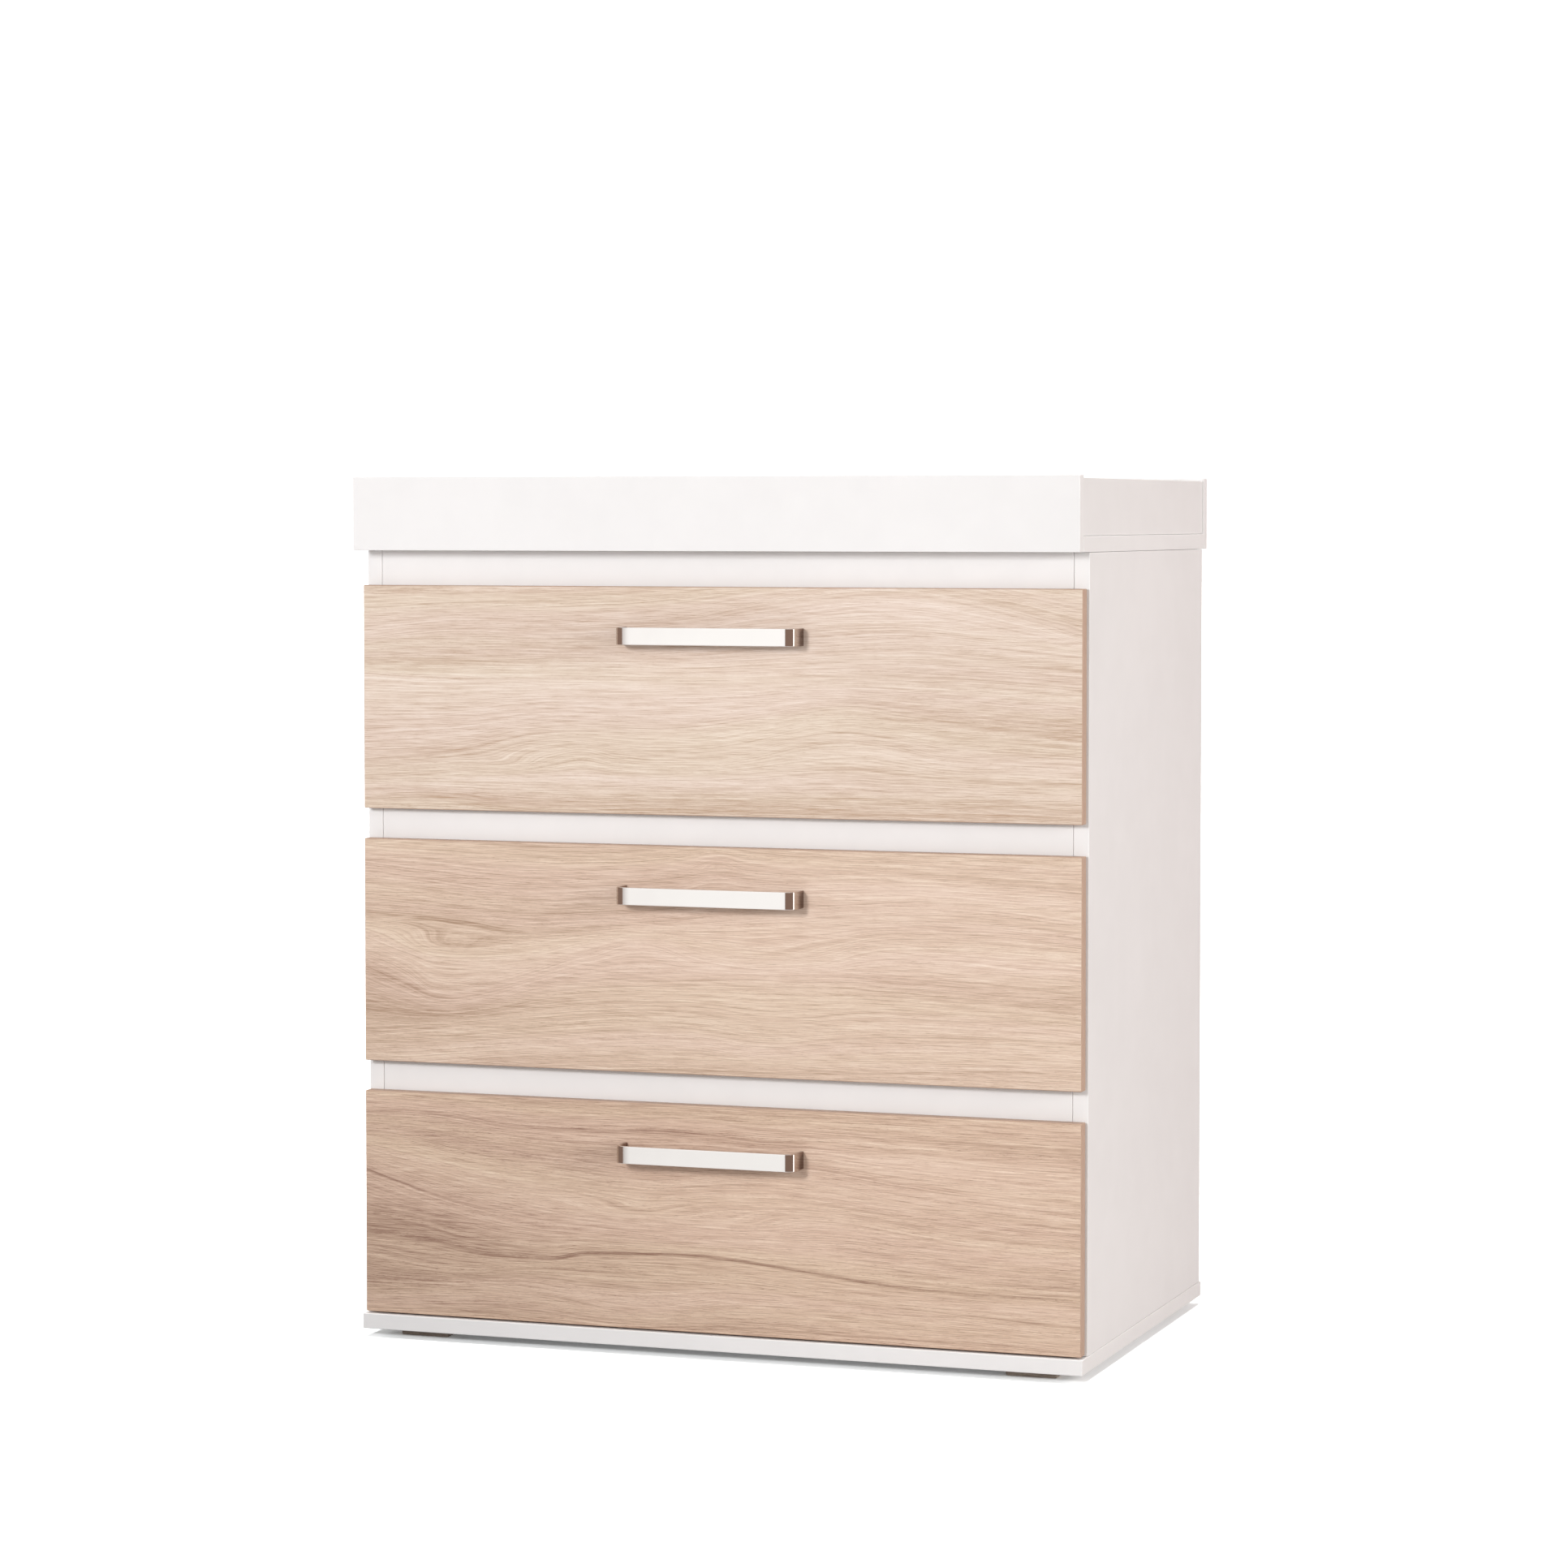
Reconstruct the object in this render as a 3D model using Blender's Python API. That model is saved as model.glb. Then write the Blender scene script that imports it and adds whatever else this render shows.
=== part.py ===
"""Changing table: a chest of three roller drawers with a raised changing tray on top.

Metres, +Z up. X runs across the chest, the drawers open towards -Y, and the origin is on the
floor under the middle of the whole table. Boards that touch keep a gap of FIT between them.
"""
import math

import bmesh
import bpy
from mathutils import Vector

# ---- driving dimensions -------------------------------------------------------------------
FIT = 0.0003                 # gap between pieces that rest on each other
EDGE = 0.0008                # small chamfer on every board edge

WIDTH = 0.876                # chest, base and tray all have this width
DEPTH = 0.584                # from the handles' front to the tray's back
BOARD = 0.018                # melamine board
FRONT_BOARD = 0.016          # drawer fronts and the tray's front and back boards

FOOT_HEIGHT = 0.010
FOOT_SIZE = 0.060            # square block
FOOT_INSET_X = 0.037         # from the base panel's side edge
FOOT_INSET_Y = 0.027         # from the base panel's front and back edges

CARCASS_HEIGHT = 0.8964      # side panels, between the base panel and the tray
CARCASS_DEPTH = 0.510        # side panels
BACK_PANEL = 0.003
BACK_PANEL_INSET = 0.0015    # at each side
BASE_OVERHANG_FRONT = 0.022
BASE_OVERHANG_BACK = 0.0042  # behind the back panel

TRAY_OVERHANG_FRONT = 0.0412
TRAY_WALL = 0.0856           # height of the tray's front and back boards
TRAY_SIDE_INSET = 0.002
TRAY_SIDE_DROP = 0.003       # side boards end this much below the front board

DRAWERS = ("bottom", "middle", "top")
DRAWER_PITCH = 0.2964
DRAWER_LOWEST = 0.0201       # lower edge of the lowest front, above the base panel's underside
FRONT_HEIGHT = 0.261
FRONT_WIDTH = 0.8708
FRONT_GAP = 0.002            # between a closed drawer front and the chest
RAIL_OVERLAP = 0.009         # the fronts cover this much of each rail
TOP_RAIL_HEIGHT = 0.050
REAR_RAIL_HEIGHT = 0.060

BOX_BOARD = 0.012            # drawer sides and backs
BOX_HEIGHT = 0.190
BOX_LENGTH = 0.450
BOX_RISE = 0.022             # drawer side's lower edge above the front's lower edge
BOX_BACK_DROP = 0.012        # the back's upper edge is lower than the sides'
BOTTOM_SHEET = 0.003
BOTTOM_RISE = 0.010          # groove above the drawer side's lower edge
GROOVE_DEPTH = 0.006
GROOVE_PLAY = 0.0004         # on each side of the sheet

HANDLE_LENGTH = 0.2184
HANDLE_STRAP = 0.020
HANDLE_THICK = 0.004
HANDLE_PROJECTION = 0.0325
HANDLE_RADIUS = 0.0115       # outer radius of its two bends
HANDLE_DROP = 0.056          # strap centre below the front's upper edge
BEND_STEPS = 6

RUNNER_ROOM = 0.0127         # between the chest's side panel and the drawer side
RUNNER_SHEET = 0.0012        # folded steel
RUNNER_LENGTH = 0.448
RUNNER_SETBACK = 0.002
CHEST_FLANGE = 0.010
DRAWER_FLANGE_IN = 0.012     # flange under the drawer side
DRAWER_FLANGE_OUT = 0.0087   # flange that runs on the chest's roller
CHANNEL = 0.0243             # clear height inside the chest runner
ROLLER_RADIUS = 0.0105
ROLLER_WIDTH = 0.007
ROLLER_BORE = 0.0033
ROLLER_SIDES = 20
ROLLER_START = 0.0027        # from the side panel to the roller
ROLLER_FROM_END = 0.014      # roller axis from its runner's end
AXLE_RADIUS = 0.003
AXLE_SIDES = 12

# ---- places worked out from them ----------------------------------------------------------
HALF = WIDTH / 2
INNER_HALF = HALF - BOARD
HANDLE_FRONT = -DEPTH / 2
FACE = HANDLE_FRONT + HANDLE_PROJECTION
CHEST_FRONT = FACE + FRONT_BOARD + FRONT_GAP
CHEST_BACK = CHEST_FRONT + CARCASS_DEPTH
BASE_FRONT = CHEST_FRONT - BASE_OVERHANG_FRONT
BASE_BACK = CHEST_BACK + FIT + BACK_PANEL + BASE_OVERHANG_BACK
BASE_TOP = FOOT_HEIGHT + BOARD
TRAY_BOTTOM = BASE_TOP + CARCASS_HEIGHT
TRAY_FLOOR = TRAY_BOTTOM + BOARD
TRAY_TOP = TRAY_BOTTOM + TRAY_WALL
TRAY_FRONT = CHEST_FRONT - TRAY_OVERHANG_FRONT
TRAY_BACK = DEPTH / 2
BOX_HALF = INNER_HALF - RUNNER_ROOM
BOX_FRONT = FACE + FRONT_BOARD + FIT

WHITE = ((0.86, 0.85, 0.84), 0.35, 0.0)
WOOD = ((0.62, 0.46, 0.33), 0.5, 0.0)
STEEL = ((0.72, 0.71, 0.69), 0.3, 1.0)
ENAMEL = ((0.82, 0.82, 0.80), 0.3, 0.2)
NYLON = ((0.88, 0.88, 0.86), 0.4, 0.0)
HARDBOARD = ((0.47, 0.34, 0.23), 0.6, 0.0)
FOOT = ((0.45, 0.37, 0.31), 0.7, 0.0)


# ---- making pieces ------------------------------------------------------------------------
def clear_scene():
    """Remove whatever the scene already holds."""
    for obj in list(bpy.data.objects):
        bpy.data.objects.remove(obj, do_unlink=True)


def make_material(name, finish):
    """One Principled material with a colour, a roughness and a metallic value."""
    colour, roughness, metallic = finish
    made = bpy.data.materials.new(name)
    made.use_nodes = True
    shader = made.node_tree.nodes["Principled BSDF"]
    shader.inputs["Base Color"].default_value = (*colour, 1.0)
    shader.inputs["Roughness"].default_value = roughness
    shader.inputs["Metallic"].default_value = metallic
    return made


def make_object(name, bm, pivot, parent=None, finish=None):
    """Turn a bmesh drawn around pivot into an object placed there."""
    bmesh.ops.recalc_face_normals(bm, faces=bm.faces)
    mesh = bpy.data.meshes.new(name)
    bm.to_mesh(mesh)
    bm.free()
    obj = bpy.data.objects.new(name, mesh)
    bpy.context.collection.objects.link(obj)
    origin = Vector(pivot)
    if parent is not None:
        obj.parent = parent
        origin = origin - parent.location
    obj.location = origin
    if finish is not None:
        mesh.materials.append(make_material(name, finish))
    return obj


def make_empty(name, place):
    """An empty that carries a moving assembly."""
    empty = bpy.data.objects.new(name, None)
    empty.location = place
    bpy.context.collection.objects.link(empty)
    return empty


def box_mesh(size):
    """A box of the given size around the origin."""
    bm = bmesh.new()
    bmesh.ops.create_cube(bm, size=1.0)
    bmesh.ops.scale(bm, vec=size, verts=bm.verts)
    return bm


def board(name, low, high, finish, parent=None, edge=EDGE):
    """A flat board between two corners, with chamfered edges."""
    low = Vector(low)
    high = Vector(high)
    obj = make_object(name, box_mesh(high - low), (low + high) / 2, parent, finish)
    if edge > 0:
        bevel = obj.modifiers.new("edges", "BEVEL")
        bevel.width = edge
        bevel.segments = 1
    return obj


def combine(target, name, bm, pivot, operation):
    """Cut a hidden solid out of target, or join it on, with an exact Boolean."""
    tool = make_object(name, bm, pivot)
    tool.hide_render = True
    tool.display_type = "WIRE"
    step = target.modifiers.new(name, "BOOLEAN")
    step.operation = operation
    step.solver = "EXACT"
    step.object = tool


def groove(target, name, low, high):
    """Cut a groove between two corners."""
    low = Vector(low)
    high = Vector(high)
    combine(target, name, box_mesh(high - low), (low + high) / 2, "DIFFERENCE")


def extrude_outline(outline, vector):
    """Sweep a closed outline of 3-D points along a vector and cap both ends."""
    bm = bmesh.new()
    face = bm.faces.new([bm.verts.new(point) for point in outline])
    swept = bmesh.ops.extrude_face_region(bm, geom=[face])
    moved = [item for item in swept["geom"] if isinstance(item, bmesh.types.BMVert)]
    bmesh.ops.translate(bm, vec=vector, verts=moved)
    return bm


def ring_mesh(outer, bore, width, sides):
    """A plain roller around the X axis: a rectangle turned about it."""
    bm = bmesh.new()
    profile = ((-width / 2, bore), (width / 2, bore), (width / 2, outer), (-width / 2, outer))
    rings = []
    for step in range(sides):
        angle = 2 * math.pi * step / sides
        turn = (math.cos(angle), math.sin(angle))
        rings.append([bm.verts.new((x, r * turn[0], r * turn[1])) for x, r in profile])
    for step, ring in enumerate(rings):
        following = rings[(step + 1) % sides]
        for corner in range(len(profile)):
            nxt = (corner + 1) % len(profile)
            bm.faces.new((ring[corner], following[corner], following[nxt], ring[nxt]))
    return bm


def axle_mesh(length):
    """A short round axle around the X axis."""
    outline = []
    for step in range(AXLE_SIDES):
        angle = 2 * math.pi * step / AXLE_SIDES
        outline.append((-length / 2, AXLE_RADIUS * math.cos(angle), AXLE_RADIUS * math.sin(angle)))
    return extrude_outline(outline, (length, 0, 0))


# ---- chest --------------------------------------------------------------------------------
def build_base():
    """Base panel on four block feet."""
    board("base_panel", (-HALF, BASE_FRONT, FOOT_HEIGHT), (HALF, BASE_BACK, BASE_TOP), WHITE)
    near = BASE_FRONT + FOOT_INSET_Y
    far = BASE_BACK - FOOT_INSET_Y - FOOT_SIZE
    outer = HALF - FOOT_INSET_X - FOOT_SIZE
    for row, y in (("front", near), ("back", far)):
        for hand, x in (("left", -outer - FOOT_SIZE), ("right", outer)):
            low = (x, y, 0)
            high = (x + FOOT_SIZE, y + FOOT_SIZE, FOOT_HEIGHT - FIT)
            board(f"foot_{row}_{hand}", low, high, FOOT, edge=0.0012)


def build_carcass():
    """Side panels, back panel, the three front rails and the rear top rail."""
    low = BASE_TOP + FIT
    high = TRAY_BOTTOM - FIT
    for hand, side in (("left", -1), ("right", 1)):
        edges = sorted((side * INNER_HALF, side * HALF))
        board(f"side_panel_{hand}", (edges[0], CHEST_FRONT, low), (edges[1], CHEST_BACK, high), WHITE)
    back_half = HALF - BACK_PANEL_INSET
    back_low = (-back_half, CHEST_BACK + FIT, low)
    board("back_panel", back_low, (back_half, CHEST_BACK + FIT + BACK_PANEL, high), HARDBOARD, edge=0)
    rail_half = INNER_HALF - FIT
    rail_back = CHEST_FRONT + BOARD
    for number, name in ((1, "lower_rail"), (2, "upper_rail")):
        bottom = FOOT_HEIGHT + DRAWER_LOWEST + number * DRAWER_PITCH
        rail_low = bottom - (DRAWER_PITCH - FRONT_HEIGHT) - RAIL_OVERLAP
        rail_high = bottom + RAIL_OVERLAP
        board(name, (-rail_half, CHEST_FRONT, rail_low), (rail_half, rail_back, rail_high), WHITE)
    top_low = (-rail_half, CHEST_FRONT, high - TOP_RAIL_HEIGHT)
    board("top_rail", top_low, (rail_half, rail_back, high), WHITE)
    rear_low = (-rail_half, CHEST_BACK - BOARD, high - REAR_RAIL_HEIGHT)
    board("rear_top_rail", rear_low, (rail_half, CHEST_BACK, high), WHITE)


def build_tray():
    """Tray floor between a front and a back board, with two side boards standing on it."""
    floor_front = TRAY_FRONT + FRONT_BOARD + FIT
    floor_back = TRAY_BACK - FRONT_BOARD - FIT
    board("tray_base", (-HALF, floor_front, TRAY_BOTTOM), (HALF, floor_back, TRAY_FLOOR), WHITE)
    front_high = (HALF, TRAY_FRONT + FRONT_BOARD, TRAY_TOP)
    board("tray_front_board", (-HALF, TRAY_FRONT, TRAY_BOTTOM), front_high, WHITE)
    back_low = (-HALF, TRAY_BACK - FRONT_BOARD, TRAY_BOTTOM)
    board("tray_back_board", back_low, (HALF, TRAY_BACK, TRAY_TOP), WHITE)
    outer = HALF - TRAY_SIDE_INSET
    for hand, side in (("left", -1), ("right", 1)):
        edges = sorted((side * (outer - BOARD), side * outer))
        side_low = (edges[0], floor_front, TRAY_FLOOR + FIT)
        side_high = (edges[1], floor_back, TRAY_TOP - TRAY_SIDE_DROP)
        board(f"tray_side_board_{hand}", side_low, side_high, WHITE)


# ---- drawers ------------------------------------------------------------------------------
def handle_outline():
    """The bow seen from above: legs, two round bends and a straight grip, around its centre."""
    depth = HANDLE_PROJECTION - FIT
    half = HANDLE_LENGTH / 2
    outer = []
    inner = []
    for side, start in ((1, 0.0), (-1, math.pi / 2)):
        for step in range(BEND_STEPS + 1):
            angle = start + math.pi / 2 * step / BEND_STEPS
            reach = (math.cos(angle), -math.sin(angle))
            centre = (side * (half - HANDLE_RADIUS), HANDLE_RADIUS)
            tight = HANDLE_RADIUS - HANDLE_THICK
            outer.append((centre[0] + HANDLE_RADIUS * reach[0], centre[1] + HANDLE_RADIUS * reach[1]))
            inner.append((centre[0] + tight * reach[0], centre[1] + tight * reach[1]))
    foot = half - HANDLE_THICK
    outline = [(half, depth)] + outer + [(-half, depth), (-foot, depth)]
    return outline + inner[::-1] + [(foot, depth)]


def build_handle(name, z, parent):
    """A flat strap bent into a bow, with its two legs against the drawer front."""
    outline = [(x, y, -HANDLE_STRAP / 2) for x, y in handle_outline()]
    bm = extrude_outline(outline, (0, 0, HANDLE_STRAP))
    make_object(name, bm, (0, HANDLE_FRONT, z), parent, STEEL)


def runner_point(side, inset, z):
    """A point of a runner's section: inset is measured from the side panel's inner face."""
    return (side * (INNER_HALF - inset), z)


def build_runner(name, side, section, start, axle, parent=None):
    """Folded steel section swept along Y, with a stub axle joined on for its roller."""
    outline = []
    for inset, z in section:
        x, height = runner_point(side, inset, z)
        outline.append((x, start, height))
    swept = extrude_outline(outline, (0, RUNNER_LENGTH, 0))
    runner = make_object(name, swept, (0, 0, 0), parent, ENAMEL)
    first, last, y, z = axle
    middle = runner_point(side, (first + last) / 2, z)
    combine(runner, f"axle_{name}", axle_mesh(abs(last - first)), (middle[0], y, middle[1]), "UNION")


def build_roller(name, side, y, z, parent=None):
    """A nylon roller with its origin on its own axis."""
    middle = runner_point(side, ROLLER_START + ROLLER_WIDTH / 2, z)
    bm = ring_mesh(ROLLER_RADIUS, ROLLER_BORE, ROLLER_WIDTH, ROLLER_SIDES)
    make_object(name, bm, (middle[0], y, middle[1]), parent, NYLON)


def build_runner_pair(level, hand, side, box_bottom, drawer):
    """The runner on the chest, the runner under the drawer side, and their two rollers."""
    base = box_bottom - FIT - RUNNER_SHEET
    web = (FIT, FIT + RUNNER_SHEET)
    reach = FIT + CHEST_FLANGE
    top = base + CHANNEL
    channel = [
        (web[0], base - RUNNER_SHEET), (reach, base - RUNNER_SHEET), (reach, base), (web[1], base),
        (web[1], top), (reach, top), (reach, top + RUNNER_SHEET), (web[0], top + RUNNER_SHEET),
    ]
    axis_z = base + FIT + ROLLER_RADIUS
    chest_start = CHEST_FRONT + RUNNER_SETBACK
    chest_axis = chest_start + ROLLER_FROM_END
    bite = RUNNER_SHEET / 2
    clear_end = ROLLER_START + ROLLER_WIDTH + FIT
    chest_axle = (web[1] - bite, clear_end, chest_axis, axis_z)
    build_runner(f"chest_runner_{level}_{hand}", side, channel, chest_start, chest_axle)
    build_roller(f"front_roller_{level}_{hand}", side, chest_axis, axis_z)

    outside = RUNNER_ROOM - FIT - RUNNER_SHEET
    inside = RUNNER_ROOM - FIT
    shelf = axis_z + ROLLER_RADIUS + FIT
    folded = [
        (outside, base), (outside + DRAWER_FLANGE_IN, base),
        (outside + DRAWER_FLANGE_IN, base + RUNNER_SHEET), (inside, base + RUNNER_SHEET),
        (inside, shelf + RUNNER_SHEET), (outside - DRAWER_FLANGE_OUT, shelf + RUNNER_SHEET),
        (outside - DRAWER_FLANGE_OUT, shelf), (outside, shelf),
    ]
    drawer_start = BOX_FRONT + FIT
    drawer_axis = drawer_start + RUNNER_LENGTH - ROLLER_FROM_END
    drawer_axle = (ROLLER_START - FIT, outside + bite, drawer_axis, axis_z)
    build_runner(f"drawer_runner_{level}_{hand}", side, folded, drawer_start, drawer_axle, drawer)
    build_roller(f"rear_roller_{level}_{hand}", side, drawer_axis, axis_z, drawer)


def build_drawer(level, bottom):
    """Front, box, handle and runners of one drawer, carried by an empty on its slide."""
    drawer = make_empty(f"drawer_{level}", (0, FACE, bottom + FRONT_HEIGHT / 2))
    front_half = FRONT_WIDTH / 2
    front_low = (-front_half, FACE, bottom)
    front_high = (front_half, FACE + FRONT_BOARD, bottom + FRONT_HEIGHT)
    front = board(f"drawer_front_{level}", front_low, front_high, WOOD, drawer)

    box_bottom = bottom + BOX_RISE
    box_back = BOX_FRONT + BOX_LENGTH
    box_top = box_bottom + BOX_HEIGHT
    sheet_low = box_bottom + BOTTOM_RISE
    sheet_high = sheet_low + BOTTOM_SHEET
    slot_low = sheet_low - GROOVE_PLAY
    slot_high = sheet_high + GROOVE_PLAY
    wall = BOX_HALF - BOX_BOARD
    slot_half = wall + GROOVE_DEPTH
    for hand, side in (("left", -1), ("right", 1)):
        edges = sorted((side * wall, side * BOX_HALF))
        side_low = (edges[0], BOX_FRONT, box_bottom)
        side_high = (edges[1], box_back, box_top)
        panel = board(f"drawer_side_{level}_{hand}", side_low, side_high, WHITE, drawer)
        cut = sorted((side * (wall - FIT), side * slot_half))
        cut_low = (cut[0], BOX_FRONT - FIT, slot_low)
        groove(panel, f"slot_{level}_{hand}", cut_low, (cut[1], box_back + FIT, slot_high))
        build_runner_pair(level, hand, side, box_bottom, drawer)
    slot_front = FACE + FRONT_BOARD - GROOVE_DEPTH
    slot_front_low = (-slot_half, slot_front, slot_low)
    groove(front, f"slot_{level}_front", slot_front_low, (slot_half, BOX_FRONT, slot_high))

    sheet_half = slot_half - FIT
    sheet_front = slot_front + FIT
    corner_low = (-sheet_half, sheet_front, sheet_low)
    corner_high = (sheet_half, box_back - FIT, sheet_high)
    board(f"drawer_bottom_{level}", corner_low, corner_high, HARDBOARD, drawer, edge=0)
    back_half = wall - FIT
    back_low = (-back_half, box_back - BOX_BOARD, sheet_high + FIT)
    back_high = (back_half, box_back, box_top - BOX_BACK_DROP)
    board(f"drawer_back_{level}", back_low, back_high, WHITE, drawer)
    build_handle(f"handle_{level}", bottom + FRONT_HEIGHT - HANDLE_DROP, drawer)


def build():
    """Make the whole table."""
    clear_scene()
    build_base()
    build_carcass()
    build_tray()
    for number, level in enumerate(DRAWERS):
        build_drawer(level, FOOT_HEIGHT + DRAWER_LOWEST + number * DRAWER_PITCH)


build()
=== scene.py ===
"""Looks of a white changing table: three oak-patterned drawers and a raised tray on top.

Metres, +Z up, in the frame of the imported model. Every piece keeps its object at the origin, so a
pattern on Object coordinates is measured from the same point as the model.
"""

import math

import bpy
import numpy as np
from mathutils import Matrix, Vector


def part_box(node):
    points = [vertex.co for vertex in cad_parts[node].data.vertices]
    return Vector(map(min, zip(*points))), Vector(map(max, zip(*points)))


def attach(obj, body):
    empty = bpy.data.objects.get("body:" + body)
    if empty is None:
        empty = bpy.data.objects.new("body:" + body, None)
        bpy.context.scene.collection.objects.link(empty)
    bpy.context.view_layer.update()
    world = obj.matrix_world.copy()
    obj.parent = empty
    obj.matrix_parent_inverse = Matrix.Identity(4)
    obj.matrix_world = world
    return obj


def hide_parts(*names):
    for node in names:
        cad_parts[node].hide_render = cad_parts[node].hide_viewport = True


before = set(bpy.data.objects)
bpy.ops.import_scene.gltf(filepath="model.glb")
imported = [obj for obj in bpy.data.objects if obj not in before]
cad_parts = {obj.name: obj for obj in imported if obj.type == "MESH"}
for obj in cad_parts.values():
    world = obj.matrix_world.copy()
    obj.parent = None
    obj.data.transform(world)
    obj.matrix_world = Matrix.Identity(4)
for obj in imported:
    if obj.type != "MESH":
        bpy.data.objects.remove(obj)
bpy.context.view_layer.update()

LEVELS = ("bottom", "middle", "top")
HANDS = (("left", -1), ("right", 1))
MM = 0.001


# ---- shader trees -------------------------------------------------------------------------
def srgb(red, green, blue):
    """A linear colour from display values of 0 to 255."""
    share = np.array((red, green, blue)) / 255
    linear = np.where(share > 0.04045, ((share + 0.055) / 1.055) ** 2.4, share / 12.92)
    return (*(float(value) for value in linear), 1.0)


class Signal:
    """A socket on its way through a shader tree; arithmetic on it adds Math nodes."""

    def __init__(self, tree, socket):
        self.tree = tree
        self.socket = socket

    def math(self, operation, *others, clamp=False):
        settings = {"operation": operation, "use_clamp": clamp}
        return self.tree.node("ShaderNodeMath", settings, (self, *others))

    def __add__(self, other):
        return self.math("ADD", other)

    def __mul__(self, other):
        return self.math("MULTIPLY", other)

    def __sub__(self, other):
        return self.math("SUBTRACT", other)

    def __rsub__(self, other):
        return self.math("MULTIPLY_ADD", -1.0, other)

    __radd__ = __add__
    __rmul__ = __mul__

    def limited(self):
        """The value held between 0 and 1."""
        return self.math("ADD", 0.0, clamp=True)

    def step(self, low, high):
        """A smooth rise from 0 at low to 1 at high."""
        values = {"Value": self, "From Min": low, "From Max": high}
        return self.tree.node("ShaderNodeMapRange", {"interpolation_type": "SMOOTHSTEP"}, values)

    def bell(self, level=0.0):
        """exp(-(value squared + level squared))."""
        return ((self * self + level * level) * -1.0).math("EXPONENT")


class Tree:
    """A node tree being filled in; node() adds any node and returns one of its outputs."""

    def __init__(self, node_tree):
        self.nodes = node_tree.nodes
        self.links = node_tree.links

    def node(self, kind, settings=None, values=(), output=0):
        made = self.nodes.new(kind)
        for name, value in (settings or {}).items():
            if name == "stops":
                self.set_stops(made.color_ramp, value)
            elif name == "curve":
                self.set_curve(made.mapping, value)
            else:
                setattr(made, name, value)
        pairs = values.items() if isinstance(values, dict) else enumerate(values)
        for key, value in pairs:
            self.feed(made.inputs[key], value)
        return None if output is None else Signal(self, made.outputs[output])

    def set_stops(self, ramp, stops):
        while len(ramp.elements) < len(stops):
            ramp.elements.new(1.0)
        for element, (place, colour) in zip(ramp.elements, stops):
            element.position = place
            element.color = colour

    def set_curve(self, mapping, points):
        curve = mapping.curves[0]
        while len(curve.points) < len(points):
            curve.points.new(0.5, 0.5)
        for point, place in zip(curve.points, points):
            point.location = place
        mapping.update()

    def feed(self, socket, value):
        if isinstance(value, Signal):
            self.links.new(value.socket, socket)
        else:
            socket.default_value = value

    def mix(self, share, first, second, blend="MIX"):
        """A colour between first and second."""
        settings = {"data_type": "RGBA", "blend_type": blend}
        return self.node("ShaderNodeMix", settings, {0: share, 6: first, 7: second}, 2)

    def place(self):
        """The Object coordinates as a vector, and as x, y and z."""
        vector = self.node("ShaderNodeTexCoord", output=3)
        split = self.node("ShaderNodeSeparateXYZ", values=(vector,)).socket.node
        return vector, *(Signal(self, split.outputs[axis]) for axis in range(3))

    def vector(self, x, y=0.0, z=0.0):
        return self.node("ShaderNodeCombineXYZ", values=(x, y, z))

    def noise(self, vector, scale, detail=2.0, roughness=0.5, **more):
        values = {"Vector": vector, "Scale": scale, "Detail": detail, "Roughness": roughness}
        return self.node("ShaderNodeTexNoise", None, {**values, **more})


class Finish(Tree):
    """A material around one Principled shader."""

    def __init__(self, name, **fixed):
        self.material = bpy.data.materials.new(name)
        self.material.use_nodes = True
        super().__init__(self.material.node_tree)
        self.shader = self.nodes["Principled BSDF"]
        for socket, value in fixed.items():
            self.shader.inputs[socket.replace("_", " ")].default_value = value

    def surface(self, **sockets):
        """Connect what varies to the shader and return the material."""
        for name, value in sockets.items():
            self.feed(self.shader.inputs[name.replace("_", " ")], value)
        return self.material

    def bump(self, height, distance, strength=1.0):
        values = {"Strength": strength, "Distance": distance, "Height": height}
        return self.node("ShaderNodeBump", None, values)


# ---- finishes -----------------------------------------------------------------------------
def white_melamine(name, colour, grit=1.0):
    """White board: a pearl-grained resin film, with faint drifts of tone and sheen."""
    finish = Finish(name, Specular_IOR_Level=0.5)
    place = finish.place()[0]
    drift = finish.noise(place, 3.0, 2.0)
    cloud = finish.noise(place, 26.0, 3.0)
    pearl = finish.noise(place, 1400.0, 2.0)
    dust = finish.noise(place, 420.0, 2.0)
    shade = finish.mix((drift * 0.6 + cloud * 0.4).step(0.3, 0.7), colour[0], colour[1])
    roughness = 0.36 + cloud * 0.05 + pearl * 0.08
    height = pearl + dust * 0.6
    return finish.surface(Base_Color=shade, Roughness=roughness,
                          Normal=finish.bump(height, 0.00002 * grit, 0.6))


WHITE = (srgb(236, 234, 233), srgb(240, 238, 237))
melamine = white_melamine("white melamine", WHITE)
edge_band = white_melamine("white edge band", (srgb(238, 236, 235), srgb(242, 240, 239)), 0.6)

FRONT_WIDE = 870.8           # a drawer front in millimetres, the grain's own coordinates
FRONT_HIGH = 261.0


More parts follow.
